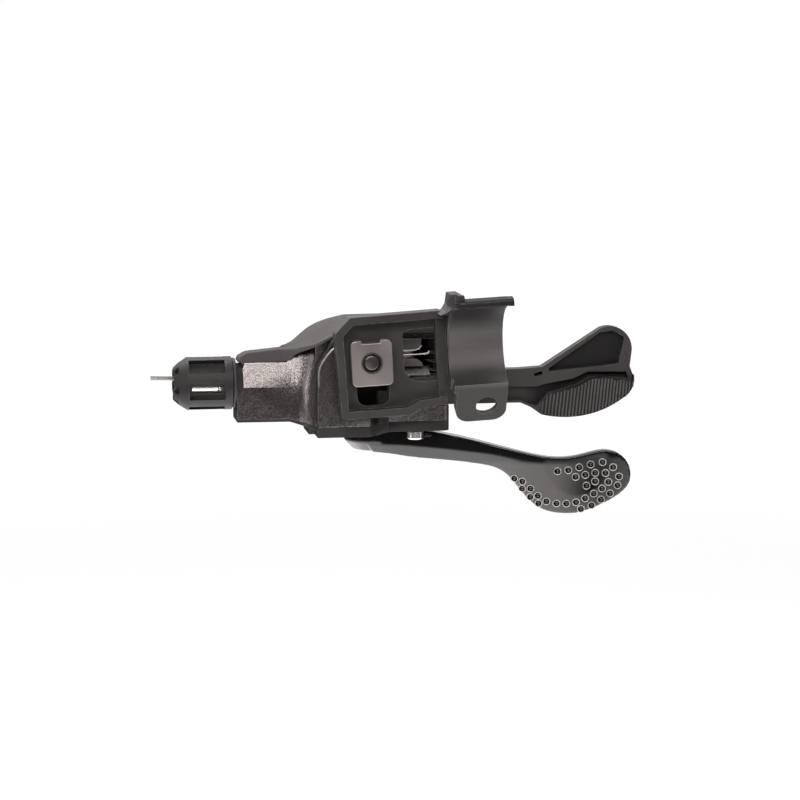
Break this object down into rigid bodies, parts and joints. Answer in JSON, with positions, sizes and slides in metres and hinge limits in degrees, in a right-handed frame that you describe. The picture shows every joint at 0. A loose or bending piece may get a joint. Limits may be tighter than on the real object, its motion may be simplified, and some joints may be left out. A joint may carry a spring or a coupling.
{
  "type": "trigger gear shifter",
  "caption": "Under-bar trigger gear shifter with clamp bracket, housing, indexed cable winder, sprung main and release levers and a barrel adjuster.",
  "frame": {"origin": "on the handlebar axis, at the middle of the bracket's saddle", "axes": "+X outboard along the bar (the bar leans 3 degrees up from it), +Y forward away from the rider, +Z along the lever axle, upwards"},
  "size_m": [0.1294, 0.0576, 0.0601],
  "materials": {
    "bracket_black": "matte black anodised aluminium",
    "nut_taupe": "satin taupe anodised",
    "bolt_black": "glossy black oxide",
    "housing_graphite": "satin metal flake graphite",
    "cover_grey": "matte dark grey",
    "satin_black": "satin black",
    "lever_gloss": "gloss black",
    "knob_black": "satin black",
    "steel": "brushed",
    "winder_plastic": "matte",
    "pad_rubber": "soft ribbed black"
  },
  "bodies": {
    "body": {"clamp_bracket": "bracket_black", "nut_plate": "nut_taupe", "bracket_bolt": "bolt_black", "housing": "housing_graphite", "top_cover": "cover_grey", "bottom_cover": "satin_black", "lever_stop_pin": "steel", "main_axle": "steel", "axle_nut": "steel", "release_pin": "steel", "hold_pawl_pin": "steel", "winder_spring": "steel", "lever_spring": "steel", "release_spring": "steel", "cable_run": "steel"},
    "main_lever": {"main_lever": "lever_gloss", "drive_plate": "steel", "feed_pawl_pin": "steel"},
    "feed_pawl": {"feed_pawl": "steel"},
    "winder": {"winder_drum": "winder_plastic", "ratchet_plate": "steel", "cable_end": "steel"},
    "holding_pawl": {"holding_pawl": "steel"},
    "release_lever": {"release_lever": "satin_black", "release_pad": "pad_rubber"},
    "adjuster_knob": {"adjuster_knob": "knob_black"},
    "adjuster_tube": {"adjuster_tube": "steel"}
  },
  "joints": [
    {"name": "main_lever_swing", "type": "hinge", "parent": "body", "child": "main_lever", "pos_m": [-0.0225, 0.0414, -0.025], "axis": [0, 0, 1], "range_deg": [0, 54], "stiffness_Nm_per_rad": 0.15, "springref_deg": -20.05, "deforming": ["lever_spring"]},
    {"name": "feed_pawl_pivot", "type": "hinge", "parent": "main_lever", "child": "feed_pawl", "pos_m": [-0.02009, 0.05275, -0.0163], "axis": [0, 0, 1], "range_deg": [-4, 14], "stiffness_Nm_per_rad": 0.002},
    {"name": "winder_turn", "type": "hinge", "parent": "body", "child": "winder", "pos_m": [-0.0225, 0.0414, -0.0108], "axis": [0, 0, 1], "range_deg": [0, 180], "stiffness_Nm_per_rad": 0.04, "springref_deg": -57.3, "deforming": ["cable_run", "winder_spring"]},
    {"name": "holding_pawl_pivot", "type": "hinge", "parent": "body", "child": "holding_pawl", "pos_m": [-0.01245, 0.0356, -0.0163], "axis": [0, 0, 1], "range_deg": [-4, 14], "stiffness_Nm_per_rad": 0.002},
    {"name": "release_lever_swing", "type": "hinge", "parent": "body", "child": "release_lever", "pos_m": [-0.0092, 0.0282, -0.014], "axis": [0, 0, 1], "range_deg": [-12, 14], "stiffness_Nm_per_rad": 0.1, "deforming": ["release_spring"]},
    {"name": "adjuster_feed", "type": "slide", "parent": "body", "child": "adjuster_tube", "axis": [1, 0, 0], "range_m": [-0.0016, 0.0016]},
    {"name": "adjuster_turn", "type": "hinge", "parent": "body", "child": "adjuster_knob", "pos_m": [-0.07, 0.02994, -0.0108], "axis": [1, 0, 0], "range_deg": [-720, 720]}
  ],
  "couplings": [
    {"joint": "adjuster_turn", "follows": "adjuster_feed", "rad_per_m": 7854}
  ]
}
